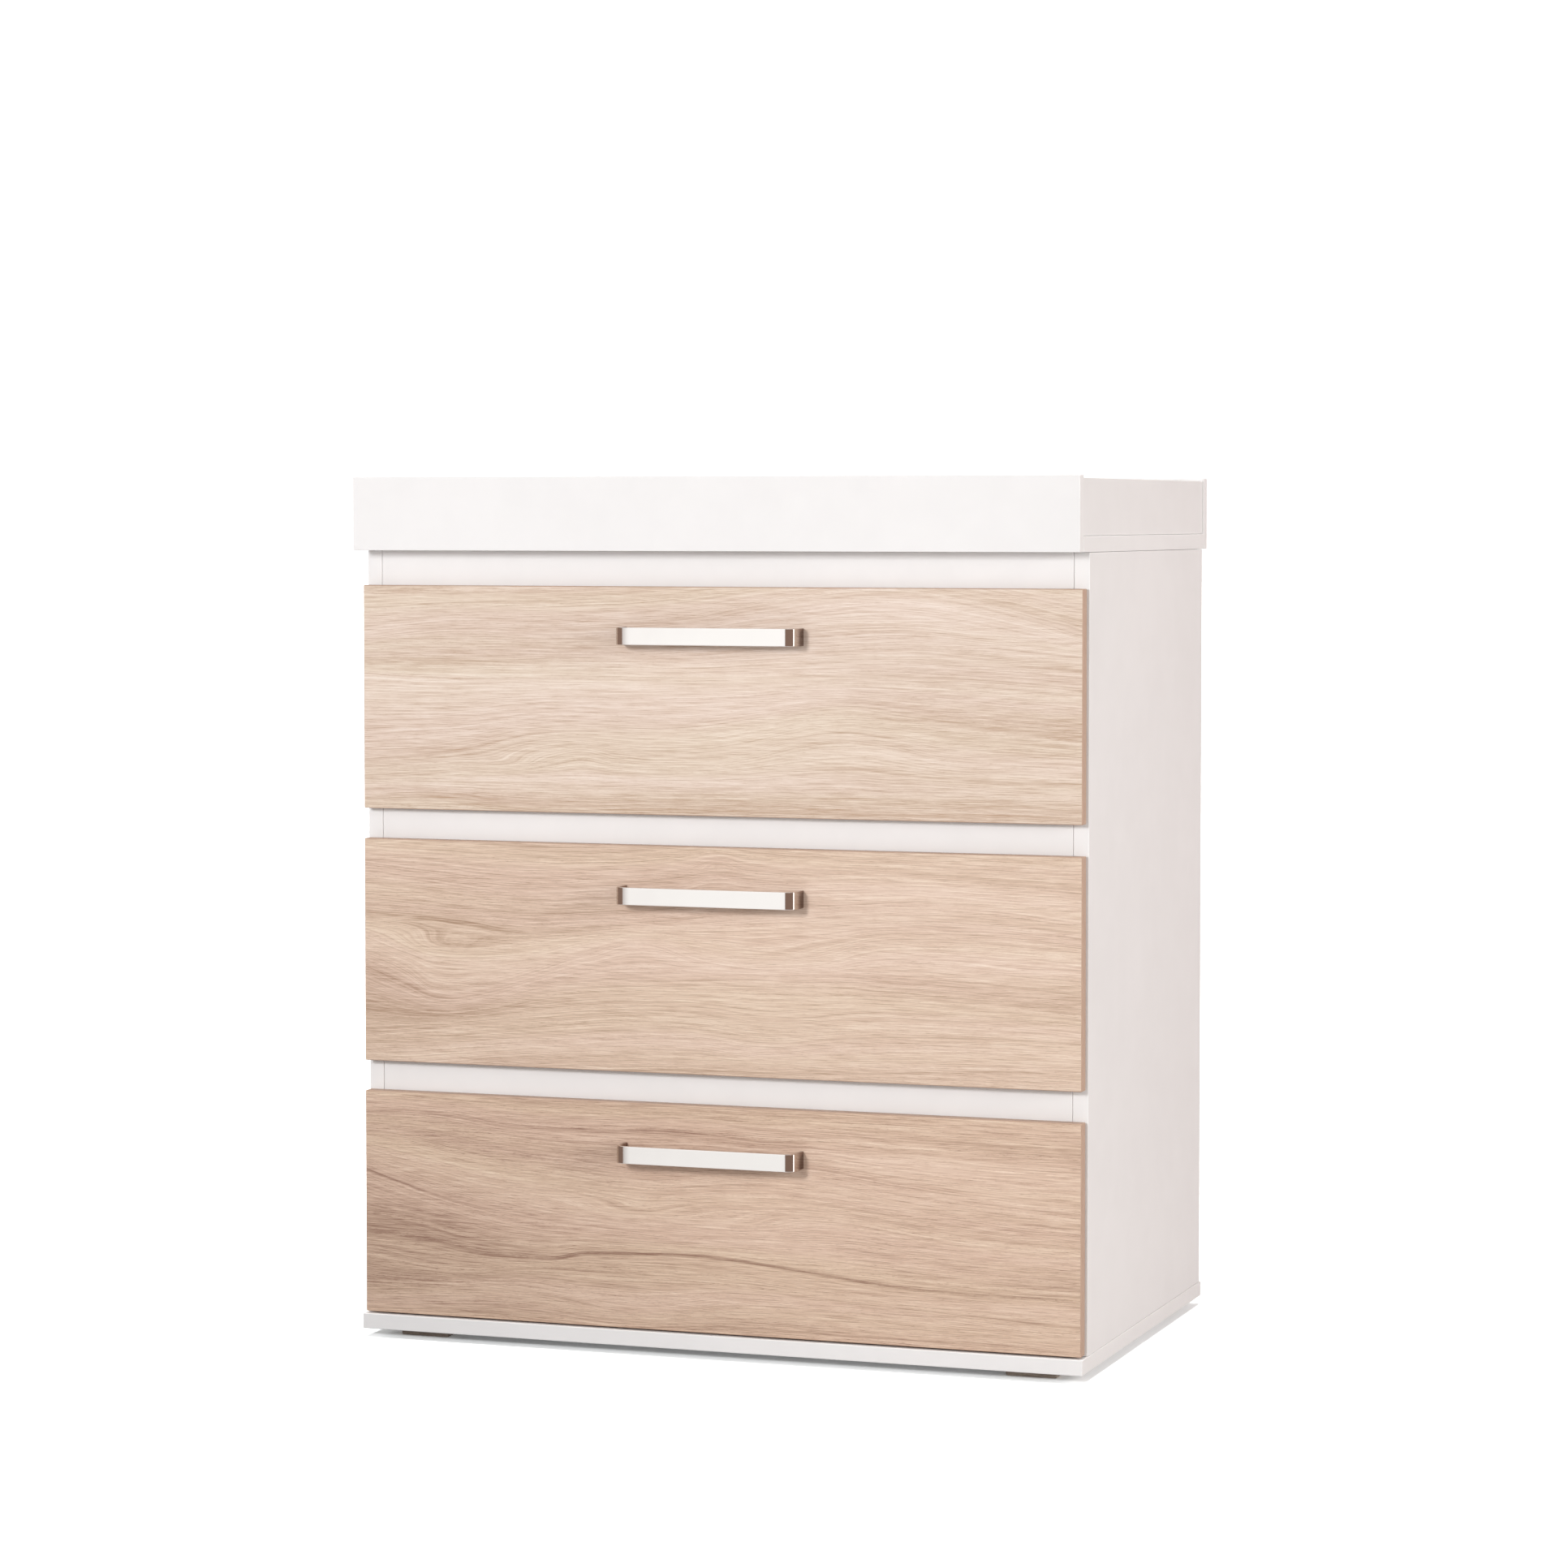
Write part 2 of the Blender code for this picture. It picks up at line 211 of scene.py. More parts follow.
def guided_field(finish, across, down, guides):
    """A height that counts millimetres of growth down the board, level along every guide.

    Each guide is a smooth curve of (across, down) places from left to right. Between two
    neighbours the height rises evenly from one to the next by their mean distance apart.
    Returns the height and its value on each guide.
    """
    share = across * (1 / FRONT_WIDE)
    curves = []
    for guide in guides:
        points = [(place / FRONT_WIDE, 0.5 + drop / (4 * FRONT_HIGH)) for place, drop in guide]
        curve = finish.node("ShaderNodeFloatCurve", {"curve": points}, {"Value": share})
        curves.append((curve - 0.5) * (4 * FRONT_HIGH))
    stations = np.linspace(0, FRONT_WIDE, 40)
    drops = [np.interp(stations, *np.array(guide).T) for guide in guides]
    height, levels = 0.0, [0.0]
    for upper, lower, first, second in zip(curves, curves[1:], drops, drops[1:]):
        rise = float(np.mean(second - first))
        part = (down - upper).math("DIVIDE", lower - upper, clamp=True)
        height = part * rise + height
        levels.append(levels[-1] + rise)
    return height, levels


def oak(name, left, top, tones, guides, swells, streaks, grit):
    """Printed oak with the grain running along X.

    The figure is a height field: level along the guides, lifted by a Gaussian swell for each
    (across, down, half width, half height, lift), and stirred by slow noise. Tone is noise read
    along that field, from broad bands down to threads, plus short fibres, dark pores and the
    streaks, each (across, guide number, half width, half height, darkness).
    """
    finish = Finish(name, Specular_IOR_Level=0.35)
    _, x, y, z = finish.place()
    across = (x - left) * 1000.0
    down = (top - z) * 1000.0
    field, levels = guided_field(finish, across, down, guides)
    for centre, depth, wide, high, lift in swells:
        near = (across - centre) * (1 / wide)
        level = (down - depth) * (1 / high)
        field = field + near.bell(level) * lift
    sway = finish.noise(finish.vector(across * 0.0045, down * 0.022, y * 20.0), 1.0, 2.0)
    ripple = finish.noise(finish.vector(across * 0.014, down * 0.08, y * 60.0), 1.0, 2.0)
    field = field + (sway - 0.5) * 7.0 + (ripple - 0.5) * 1.3
    broad = finish.noise(finish.vector(across * 0.0012, field * 0.026, y * 30.0), 1.0, 1.0)
    lines = finish.noise(finish.vector(across * 0.0014, field * 0.36, y * 90.0), 1.0, 3.0, 0.65)
    threads = finish.noise(finish.vector(across * 0.0055, field * 0.95, y * 300.0), 1.0, 2.0, 0.6)
    fibres = finish.noise(finish.vector(across * 0.032, down * 1.5, y * 900.0), 1.0, 2.0, 0.6)
    cells = finish.noise(finish.vector(across * 0.15, down * 2.3 + ripple * 6.0, y * 700.0), 1.0, 1.0)
    pores = cells.step(0.60, 0.68) * lines.step(0.40, 0.60)
    # Painted highlights: pale flecks in the colour where embossed pores would catch the light.
    painted_glints = (1 - cells).step(0.62, 0.70)
    tone = (broad - 0.5) * 0.52 + (lines - 0.5) * 0.50 + (threads - 0.5) * 0.78 + (fibres - 0.5) * 1.12
    for centre, number, wide, high, darkness in streaks:
        spot = int(number)
        reach = levels[min(spot + 1, len(levels) - 1)] - levels[spot]
        near = (across - centre) * (1 / wide)
        level = (field - (levels[spot] + (number - spot) * reach)) * (1 / high)
        ragged = threads * 0.7 + 0.65
        tone = tone - near.bell(level) * ragged * (darkness * 1.5)
    tone = tone - pores * grit + painted_glints * (grit * 0.45)
    stops = tuple(zip((0.0, 0.5, 1.0), tones))
    colour = finish.node("ShaderNodeValToRGB", {"stops": stops}, ((tone + 0.5).limited(),))
    warmth = finish.noise(finish.vector(across * 0.0010, field * 0.035, y * 30.0 + 7.0), 1.0, 1.0)
    tint = finish.mix(warmth.step(0.25, 0.75), (1.0, 0.980, 0.985, 1.0), (0.995, 1.0, 0.965, 1.0))
    colour = finish.mix(1.0, colour, tint, "MULTIPLY")
    height = fibres * 0.5 + threads * 0.3 - pores
    roughness = 0.46 + pores * 0.15 + (lines - 0.5) * 0.12
    return finish.surface(Base_Color=colour, Roughness=roughness,
                          Normal=finish.bump(height, 0.00010, 0.5))


def oak_end(name, colours):
    """Oak-patterned edge band: fine streaks along the edge with a soft drift."""
    finish = Finish(name, Specular_IOR_Level=0.35)
    _, x, y, z = finish.place()
    streak = finish.noise(finish.vector(x * 12.0, y * 1500.0, z * 60.0), 1.0, 3.0)
    fibre = finish.noise(finish.vector(x * 60.0, y * 4000.0, z * 500.0), 1.0, 2.0)
    colour = finish.mix((streak * 0.6 + fibre * 0.4).step(0.35, 0.65), colours[0], colours[1])
    return finish.surface(Base_Color=colour, Roughness=0.45 + fibre * 0.15,
                          Normal=finish.bump(streak + fibre, 0.00004, 0.5))


oak_edge = oak_end("oak edge band", (srgb(182, 152, 132), srgb(198, 169, 149)))


def satin_metal(name, colour, roughness, grain_axis="x", streak=0.00001, painted_leg_shade=None):
    """Metal drawn along one axis: hair-fine lines in its sheen and relief.

    painted_leg_shade gives the y between which painted shade darkens the metal towards its foot, standing in
    for the shaded wood its legs reflect.
    """
    finish = Finish(name, Metallic=1.0)
    place, x, y, z = finish.place()
    axes = {"x": (x * 30.0, y * 3000.0, z * 3000.0), "y": (x * 3000.0, y * 30.0, z * 3000.0)}
    hair = finish.noise(finish.vector(*axes[grain_axis]), 1.0, 3.0, 0.6)
    cloud = finish.noise(place, 60.0, 2.0)
    shade = finish.mix(hair * 0.5 + cloud * 0.3, colour[0], colour[1])
    if painted_leg_shade:
        # Painted shade: the legs darken towards their feet in place of the dim, shaded wood they mirror, not
        # a tarnish of the metal.
        shade = finish.mix(y.step(*painted_leg_shade) * 0.80, shade, (0.15, 0.075, 0.048, 1.0))
    roughness = roughness + (hair - 0.5) * 0.08 + (cloud - 0.5) * 0.05
    return finish.surface(Base_Color=shade, Roughness=roughness,
                          Normal=finish.bump(hair, streak, 0.4))


grip_low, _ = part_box("handle_middle")
STEEL = ((0.62, 0.555, 0.51, 1.0), (0.68, 0.615, 0.57, 1.0))
# Painted shade on the handle legs, from 3 mm to 24 mm behind the front of the grip.
handle_steel = satin_metal("polished handle steel", STEEL, 0.11,
                           painted_leg_shade=(grip_low.y + 0.003, grip_low.y + 0.024))
zinc = satin_metal("bright zinc", (srgb(190, 190, 188), srgb(214, 214, 210)), 0.30, "y", 0.00002)


def enamel(name, colour):
    """Powder-coated steel: fine orange peel and slight pooling of tone."""
    finish = Finish(name, Specular_IOR_Level=0.5)
    place = finish.place()[0]
    peel = finish.noise(place, 700.0, 2.0)
    pool = finish.noise(place, 40.0, 2.0)
    shade = finish.mix(pool.step(0.3, 0.7), colour[0], colour[1])
    return finish.surface(Base_Color=shade, Roughness=0.28 + peel * 0.12,
                          Normal=finish.bump(peel, 0.00003, 0.6))


runner_enamel = enamel("runner enamel", (srgb(226, 226, 222), srgb(234, 234, 230)))


def nylon_finish():
    """Moulded nylon: milky, with faint flow marks and a rubbed running face."""
    finish = Finish("roller nylon", Specular_IOR_Level=0.5)
    place = finish.place()[0]
    flow = finish.noise(place, 180.0, 3.0)
    rubbed = finish.noise(place, 900.0, 2.0)
    shade = finish.mix(flow.step(0.3, 0.7), srgb(222, 221, 214), srgb(236, 235, 228))
    return finish.surface(Base_Color=shade, Roughness=0.34 + rubbed * 0.2,
                          Normal=finish.bump(rubbed, 0.00002, 0.5))


nylon = nylon_finish()


def raw_hardboard():
    """Pressed brown fibreboard: matted short fibres with darker flecks."""
    finish = Finish("raw hardboard", Specular_IOR_Level=0.25)
    place, x, y, z = finish.place()
    mat_a = finish.noise(finish.vector(x * 900.0, y * 900.0, z * 180.0), 1.0, 3.0, 0.65)
    mat_b = finish.noise(finish.vector(x * 180.0, y * 900.0, z * 900.0), 1.0, 3.0, 0.65)
    cloud = finish.noise(place, 9.0, 4.0, 0.6)
    fleck = finish.noise(place, 240.0, 2.0).step(0.62, 0.72)
    mat = mat_a * 0.5 + mat_b * 0.5
    shade = finish.mix((mat * 0.6 + cloud * 0.4).step(0.35, 0.65), srgb(150, 112, 78), srgb(182, 142, 104))
    shade = finish.mix(fleck * 0.45, shade, srgb(104, 72, 48))
    return finish.surface(Base_Color=shade, Roughness=0.62 + mat * 0.2,
                          Normal=finish.bump(mat, 0.00012, 0.6))


hardboard = raw_hardboard()
lacquered = white_melamine("white lacquer", (srgb(230, 227, 223), srgb(236, 233, 229)), 3.0)


def foot_finish():
    """Beige foot block: matt fibre with fine grit."""
    finish = Finish("foot block", Specular_IOR_Level=0.3)
    place, x, y, z = finish.place()
    fibre = finish.noise(finish.vector(x * 120.0, y * 120.0, z * 900.0), 1.0, 3.0, 0.6)
    grit = finish.noise(place, 1100.0, 2.0)
    shade = finish.mix((fibre * 0.7 + grit * 0.3).step(0.35, 0.65), srgb(176, 158, 145), srgb(206, 190, 177))
    return finish.surface(Base_Color=shade, Roughness=0.7 + grit * 0.15,
                          Normal=finish.bump(fibre + grit, 0.0001, 0.6))


foot_block = foot_finish()


# ---- surfaces -----------------------------------------------------------------------------
def make_piece(name, points, faces, finishes, body, chosen=None, flat=None, replaces=(), crease=28):
    """A mesh object from whole arrays, riding on a body.

    chosen gives each face's finish. flat marks the faces that keep a flat shading; without it,
    shading is smooth and breaks where faces meet at more than crease degrees.
    """
    mesh = bpy.data.meshes.new(name)
    mesh.from_pydata(np.asarray(points, float).reshape(-1, 3), [], without_repeats(faces))
    for finish in finishes:
        mesh.materials.append(finish)
    count = len(mesh.polygons)
    if chosen is not None:
        mesh.polygons.foreach_set("material_index", np.asarray(chosen, np.int32))
    smooth = np.ones(count, bool) if flat is None else ~np.asarray(flat, bool)
    mesh.polygons.foreach_set("use_smooth", smooth)
    mesh.update()
    if flat is None:
        mesh.set_sharp_from_angle(angle=math.radians(crease))
    piece = bpy.data.objects.new(name, mesh)
    bpy.context.scene.collection.objects.link(piece)
    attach(piece, body)
    if replaces:
        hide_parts(*replaces)
    return piece


def without_repeats(faces):
    """Faces as lists of corners; where a side has shrunk to a point, its corner is named once."""
    return [list(dict.fromkeys(map(int, face))) for face in faces]


def grid_quads(rows, columns, start=0, wrap=False):
    """Corner numbers of the quads between neighbouring points of a rows by columns grid."""
    row = np.arange(rows - 1)[:, None] * columns + start
    reach = columns if wrap else columns - 1
    first = np.arange(reach)[None, :]
    second = (first + 1) % columns
    quads = np.stack([row + first, row + second, row + columns + second, row + columns + first], -1)
    return quads.reshape(-1, 4)


def merged(points, faces):
    """Points that coincide become one."""
    keys = np.round(points * 1e7).astype(np.int64)
    _, index, inverse = np.unique(keys, axis=0, return_index=True, return_inverse=True)
    return points[index], inverse.reshape(-1)[faces]


def rounded_box(low, high, radius, arc=3):
    """A box whose edges and corners are rounded.

    Each of the six faces is a grid; every point is pulled to the nearest point of the box shrunk
    by the radius, and set out again from there by the radius.
    """
    low = np.asarray(low, float)
    high = np.asarray(high, float)
    turn = (1 - np.tan(np.linspace(math.pi / 4, 0, arc + 1))) * radius
    stations = [np.concatenate([low[a] + turn, high[a] - turn[::-1]]) for a in range(3)]
    points, faces, start = [], [], 0
    for axis in range(3):
        first, second = (axis + 1) % 3, (axis + 2) % 3
        u, v = np.meshgrid(stations[first], stations[second], indexing="ij")
        for side in (0, 1):
            sheet = np.empty(u.shape + (3,))
            sheet[..., first] = u
            sheet[..., second] = v
            sheet[..., axis] = high[axis] if side else low[axis]
            quads = grid_quads(u.shape[0], u.shape[1], start)
            faces.append(quads[:, ::-1] if side else quads)
            points.append(sheet.reshape(-1, 3))
            start += u.size
    points = np.concatenate(points)
    faces = np.concatenate(faces)
    core = np.clip(points, low + radius, high - radius)
    out = points - core
    out /= np.maximum(np.linalg.norm(out, axis=1, keepdims=True), 1e-12)
    return merged(core + out * radius, faces)


def face_normals(points, faces):
    """Unit normals from the diagonals of the quads."""
    cross = np.cross(points[faces[:, 2]] - points[faces[:, 0]], points[faces[:, 3]] - points[faces[:, 1]])
    return cross / np.maximum(np.linalg.norm(cross, axis=1, keepdims=True), 1e-15)


def board(name, node, finishes, body, radius=0.001, low=None):
    """A board in place of a CAD node: broad faces in the first finish, edges in the second.

    A third finish, where there is one, goes on the broad face that looks to the positive side.
    """
    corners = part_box(node)
    low = np.array(corners[0]) if low is None else low
    high = np.array(corners[1])
    points, faces = rounded_box(low, high, radius)
    normals = face_normals(points, faces)
    thin = int(np.argmin(high - low))
    broad = np.abs(normals[:, thin]) > 0.9999
    chosen = np.where(broad, 0, 1)
    if len(finishes) > 2:
        chosen = np.where(broad & (normals[:, thin] > 0), 2, chosen)
    flat = np.abs(normals).max(axis=1) > 0.9999
    return make_piece(name, points, faces, finishes, body, chosen, flat, (node,))


def turned(profile, sides=32):
    """A profile of (along, radius) pairs turned about the X axis; radius 0 closes to a point."""
    along, radius = np.asarray(profile, float).T
    angle = np.linspace(0, 2 * math.pi, sides, endpoint=False)
    points = np.stack([
        np.broadcast_to(along[:, None], (len(along), sides)),
        radius[:, None] * np.cos(angle),
        radius[:, None] * np.sin(angle),
    ], -1).reshape(-1, 3)
    points, faces = merged(points, grid_quads(len(along), sides, wrap=True))
    return points, faces


def joined(parts):
    """Several (points, faces) shapes as one."""
    start = 0
    points, faces = [], []
    for some_points, some_faces in parts:
        points.append(some_points)
        faces.append(some_faces + start)
        start += len(some_points)
    return np.concatenate(points), np.concatenate(faces)


# ---- white boards -------------------------------------------------------------------------
white = (melamine, edge_band)
for node in ("base_panel", "side_panel_left", "side_panel_right", "lower_rail", "upper_rail", "top_rail",
             "rear_top_rail", "tray_base", "tray_front_board", "tray_back_board",
             "tray_side_board_left", "tray_side_board_right"):
    board(f"{node}_finished", node, white, "chest")
board("back_panel_finished", "back_panel", (lacquered, hardboard, hardboard), "chest", 0.0003)
for row in ("front", "back"):
    for hand, _ in HANDS:
        node = f"foot_{row}_{hand}"
        board(f"{node}_block", node, (foot_block, foot_block), "chest", 0.0022)

# ---- drawer fronts ------------------------------------------------------------------------
FRONT_GRAIN = {
    "top": dict(
        tones=(srgb(178, 145, 119), srgb(224, 205, 189), srgb(248, 236, 226)),
        guides=(
            ((0, 10), (300, 0), (500, -15), (640, -25), (760, -12), (870, 5)),
            ((0, 63), (60, 54), (125, 49), (250, 52), (400, 40), (500, 22), (600, 8),
             (660, 8), (750, 22), (870, 52)),
            ((0, 85), (200, 84), (400, 82), (550, 72), (650, 65), (760, 70), (870, 78)),
            ((0, 103), (100, 107), (300, 106), (500, 104), (650, 100), (870, 112)),
            ((0, 205), (125, 189), (225, 170), (400, 167), (500, 152), (585, 138), (675, 145), (870, 165)),
            ((0, 226), (150, 214), (240, 198), (275, 193), (320, 201), (425, 203), (475, 195), (540, 181),
             (590, 175), (650, 181), (720, 191), (870, 200)),
            ((0, 229), (200, 228), (400, 229), (600, 229), (870, 230)),
            ((0, 246), (130, 245), (160, 250), (400, 246), (870, 250)),
            ((0, 275), (870, 280)),
        ),
        swells=((185, 205, 40, 9, -9),),
        streaks=((90, 2.2, 120, 5, 0.10), (170, 3.0, 190, 1.2, 0.16), (60, 2.6, 80, 3, 0.08),
                 (190, 4.0, 90, 1.0, 0.14), (590, 5.0, 110, 1.0, 0.12), (760, 3.4, 160, 1.4, 0.08),
                 (700, 1.0, 160, 1.6, 0.09), (300, 6.0, 330, 2.2, 0.08), (130, 7.0, 60, 1.2, 0.12),
                 (620, 2.1, 110, 1.3, 0.11), (560, 6.6, 420, 7.0, 0.05), (435, 7.1, 1200, 16, 0.07),
                 (870, 4.0, 330, 120, 0.05)),
        grit=0.17),
    "middle": dict(
        tones=(srgb(163, 133, 110), srgb(219, 194, 175), srgb(246, 230, 214)),
        guides=(
            ((0, -5), (200, 0), (300, 0), (430, -8), (600, 0), (870, 5)),
            ((0, 30), (75, 37), (200, 46), (300, 42), (400, 30), (440, 18), (480, 27), (650, 31), (870, 40)),
            ((0, 86), (125, 94), (215, 104), (280, 100), (450, 84), (550, 76), (700, 65), (870, 78)),
            ((0, 132), (50, 150), (90, 172), (150, 167), (215, 150), (275, 130), (350, 113), (425, 132),
             (500, 138), (575, 132), (625, 120), (700, 115), (870, 122)),
            ((0, 165), (50, 182), (95, 192), (150, 185), (225, 165), (300, 155), (375, 150), (450, 146),
             (550, 143), (650, 148), (870, 165)),
            ((0, 225), (100, 215), (200, 202), (300, 192), (350, 190), (425, 192), (500, 200), (550, 197),
             (600, 190), (700, 187), (870, 195)),
            ((0, 250), (100, 245), (200, 235), (300, 224), (400, 219), (500, 228),
             (575, 221), (675, 212), (870, 212)),
            ((0, 290), (200, 268), (400, 255), (500, 255), (600, 250), (870, 245)),
            ((0, 320), (870, 285)),
        ),
        swells=((120, 122, 85, 14, -12), (510, 118, 70, 14, -9), (440, 27, 30, 6, -5)),
        streaks=((110, 2.0, 150, 1.6, 0.16), (200, 2.12, 120, 1.4, 0.12), (800, 2.0, 90, 1.2, 0.16),
                 (60, 1.0, 160, 1.6, 0.10), (40, 3.6, 90, 5.0, 0.12), (80, 4.6, 150, 9.0, 0.10),
                 (330, 6.0, 170, 1.2, 0.13), (150, 6.5, 220, 7.0, 0.08), (520, 4.4, 180, 1.2, 0.08),
                 (120, 3.0, 80, 2.0, 0.08), (700, 5.0, 180, 1.2, 0.06), (640, 3.2, 260, 9.0, -0.05),
                 (0, 4.0, 240, 110, 0.04)),
        grit=0.20),
    "bottom": dict(
        tones=(srgb(144, 111, 95), srgb(213, 185, 164), srgb(243, 223, 204)),
        guides=(
            ((0, -8), (200, 0), (400, -5), (870, -5)),
            ((0, 20), (100, 22), (200, 33), (300, 33), (400, 30), (500, 37), (550, 35), (650, 40), (870, 45)),
            ((0, 50), (75, 58), (150, 70), (250, 82), (350, 90), (450, 80), (550, 80),
             (650, 93), (750, 103), (870, 112)),
            ((0, 92), (75, 115), (150, 132), (225, 142), (300, 146), (400, 152), (500, 151), (600, 150),
             (700, 160), (870, 170)),
            ((0, 165), (75, 170), (125, 178), (200, 186), (240, 186), (275, 178), (310, 176), (430, 173),
             (540, 183), (625, 192), (700, 195), (870, 198)),
            ((0, 195), (75, 205), (130, 206), (200, 196), (300, 194), (450, 197), (600, 208), (870, 218)),
            ((0, 238), (100, 232), (200, 226), (275, 236), (350, 241), (450, 224), (600, 224), (870, 238)),
            ((0, 262), (200, 258), (300, 262), (450, 255), (870, 262)),
            ((0, 290), (870, 290)),
        ),
        swells=((330, 128, 90, 13, -12), (470, 134, 70, 10, -9)),
        streaks=((350, 1.0, 190, 2.2, 0.14), (500, 1.15, 90, 2.0, 0.14), (30, 1.1, 120, 3.0, 0.08),
                 (30, 3.0, 55, 1.2, 0.18), (70, 3.9, 130, 8.0, 0.05), (60, 4.0, 110, 2.0, 0.12),
                 (560, 4.0, 280, 2.2, 0.24), (310, 4.0, 120, 2.6, 0.18), (190, 4.15, 90, 1.2, 0.10),
                 (60, 5.6, 120, 14.0, 0.06), (270, 6.0, 90, 1.2, 0.10), (200, 2.4, 200, 2.0, 0.07),
                 (760, 2.5, 160, 1.4, 0.06), (700, 3.4, 300, 12.0, -0.04), (0, 4.5, 280, 110, 0.06)),
        grit=0.25),
}
for level in LEVELS:
    node = f"drawer_front_{level}"
    low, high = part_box(node)
    grain = oak(f"oak {level} drawer", low.x, high.z, **FRONT_GRAIN[level])
    board(f"{node}_oak", node, (grain, oak_edge), f"drawer_{level}", 0.0009)


# ---- handles ------------------------------------------------------------------------------
STRAP = 0.004                # thickness of the bent strap
BEND = 0.0115                # outer radius of its two corners
SOFT_EDGE = 0.0006           # radius of the strap's long edges


def bow_path(half, depth, front):
    """Middle line of the bow seen from above, from the right leg's foot to the left one's.

    Two straight legs, two quarter circles and a straight grip; returns places and unit normals.
    """
    middle = BEND - STRAP / 2
    arc = np.linspace(0, math.pi / 2, 17)
    leg = np.linspace(front + depth, front + BEND, 6)[:-1]
    right_leg = np.stack([np.full(len(leg), half - STRAP / 2), leg], -1)
    right_bend = np.stack([half - BEND + middle * np.cos(arc), front + BEND - middle * np.sin(arc)], -1)
    right = np.concatenate([right_leg, right_bend])
    bend_out = np.stack([np.cos(arc), -np.sin(arc)], -1)
    right_out = np.concatenate([np.tile((1.0, 0.0), (len(leg), 1)), bend_out])
    grip = np.linspace(half - BEND, -(half - BEND), 25)[1:-1]
    straight = np.stack([grip, np.full(len(grip), front + STRAP / 2)], -1)
    flip = np.array((-1.0, 1.0))
    path = np.concatenate([right, straight, right[::-1] * flip])
    normal = np.concatenate([right_out, np.tile((0.0, -1.0), (len(grip), 1)), right_out[::-1] * flip])
    return path, normal


def strap_section(height):
    """Rounded rectangle as (outward, up) pairs, anticlockwise.

    Each corner is a quarter circle of four points, with one more point on the flat at either end
    that keeps the flats flat.
    """
    arc = np.linspace(0, math.pi / 2, 4)
    corners = []
    for quarter, (out, up) in enumerate(((1, 1), (-1, 1), (-1, -1), (1, -1))):
        angle = arc + quarter * math.pi / 2
        around = np.stack([np.cos(angle), np.sin(angle)], -1) * SOFT_EDGE
        around += (out * (STRAP / 2 - SOFT_EDGE), up * (height / 2 - SOFT_EDGE))
        run = np.stack([-np.sin(angle), np.cos(angle)], -1) * SOFT_EDGE / 2
        corners += [around[:1] - run[:1], around, around[-1:] + run[-1:]]
    return np.concatenate(corners)


def bow(half, depth, front, height, z):
    """The strap section carried along the bow's path; both feet are left open, and the caller closes them."""
    path, normal = bow_path(half, depth, front)
    section = strap_section(height)
    points = np.empty((len(path), len(section), 3))
    points[..., 0] = path[:, None, 0] + normal[:, None, 0] * section[None, :, 0]
    points[..., 1] = path[:, None, 1] + normal[:, None, 1] * section[None, :, 0]
    points[..., 2] = z + section[None, :, 1]
    faces = grid_quads(len(path), len(section), wrap=True)
    return points.reshape(-1, 3), faces, len(section)


for level in LEVELS:
    node = f"handle_{level}"
    low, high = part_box(node)
    points, faces, ring = bow(high.x, high.y - low.y, low.y, high.z - low.z, (low.z + high.z) / 2)
    caps = [range(ring - 1, -1, -1), range(len(points) - ring, len(points))]
    make_piece(f"{node}_bow", points, faces.tolist() + caps, (handle_steel,), f"drawer_{level}",
               replaces=(node,))

# ---- rollers and fasteners ----------------------------------------------------------------
def facing(points, centre, axis, side):
    """Shapes drawn around +X are laid along the given axis, to the given side, at centre."""
    order = ((0, 1, 2), (2, 0, 1), (1, 2, 0))[axis]
    laid = points[:, order].copy()
    if side < 0:
        laid[:, axis] *= -1
        laid[:, (axis + 1) % 3] *= -1
    return laid + np.asarray(centre)


ROLLER_PROFILE = np.array((
    (-3.5, 3.3), (-3.5, 4.8), (-2.7, 5.2), (-2.7, 8.4), (-3.5, 8.8), (-3.5, 9.9), (-3.2, 10.35),
    (-2.8, 10.5),
    (2.8, 10.5), (3.2, 10.35), (3.5, 9.9), (3.5, 8.8), (2.7, 8.4), (2.7, 5.2),
    (3.5, 4.8), (3.5, 3.3), (-3.5, 3.3),
)) * MM
WASHER_PROFILE = np.array((
    (0.0, 0.0), (0.0, 4.2), (0.2, 4.2), (0.35, 3.9), (0.35, 2.4), (0.8, 1.8), (0.8, 0.0),
)) * MM
NAIL_PROFILE = np.array(((0.0, 0.0), (0.0, 2.3), (0.3, 2.2), (0.55, 1.2), (0.6, 0.0))) * MM


def screw_head(radius, height, recess):
    """A low dome with a cross recess, around +X.

    Height over (distance, angle) is a flattened dome, less a cross whose arms fade at their ends;
    a short rim brings the edge down to the seat, and a flat disc closes the underside.
    """
    distance = np.concatenate([np.linspace(0, 0.94, 14), [1.0, 1.0, 0.0]]) * radius
    angle = np.linspace(0, 2 * math.pi, 40, endpoint=False)
    reach, turn = np.meshgrid(distance, angle, indexing="ij")
    share = reach / radius
    dome = height * (1 - 0.55 * share ** 2)
    y, z = reach * np.cos(turn), reach * np.sin(turn)
    arm = np.minimum(np.abs(y), np.abs(z)) / radius
    cross = np.clip((0.16 - arm) / 0.06, 0, 1) * np.clip((0.62 - share) / 0.10, 0, 1)
    along = dome - recess * cross
    along[-2:] = 0.0
    points = np.stack([along, y, z], -1).reshape(-1, 3)
    return merged(points, grid_quads(len(distance), len(angle), wrap=True)[:, ::-1])


def fasteners(name, shape, places, axis, side, finish, body):
    """Copies of one shape at several places, as one piece."""
    parts = [(facing(shape[0], place, axis, side), shape[1]) for place in places]
    points, faces = joined(parts)
    make_piece(name, points, faces, (finish,), body, crease=40)


SHEET = 0.0012               # folded steel of the runners
NAIL_INSET = 0.009           # from the back panel's edge

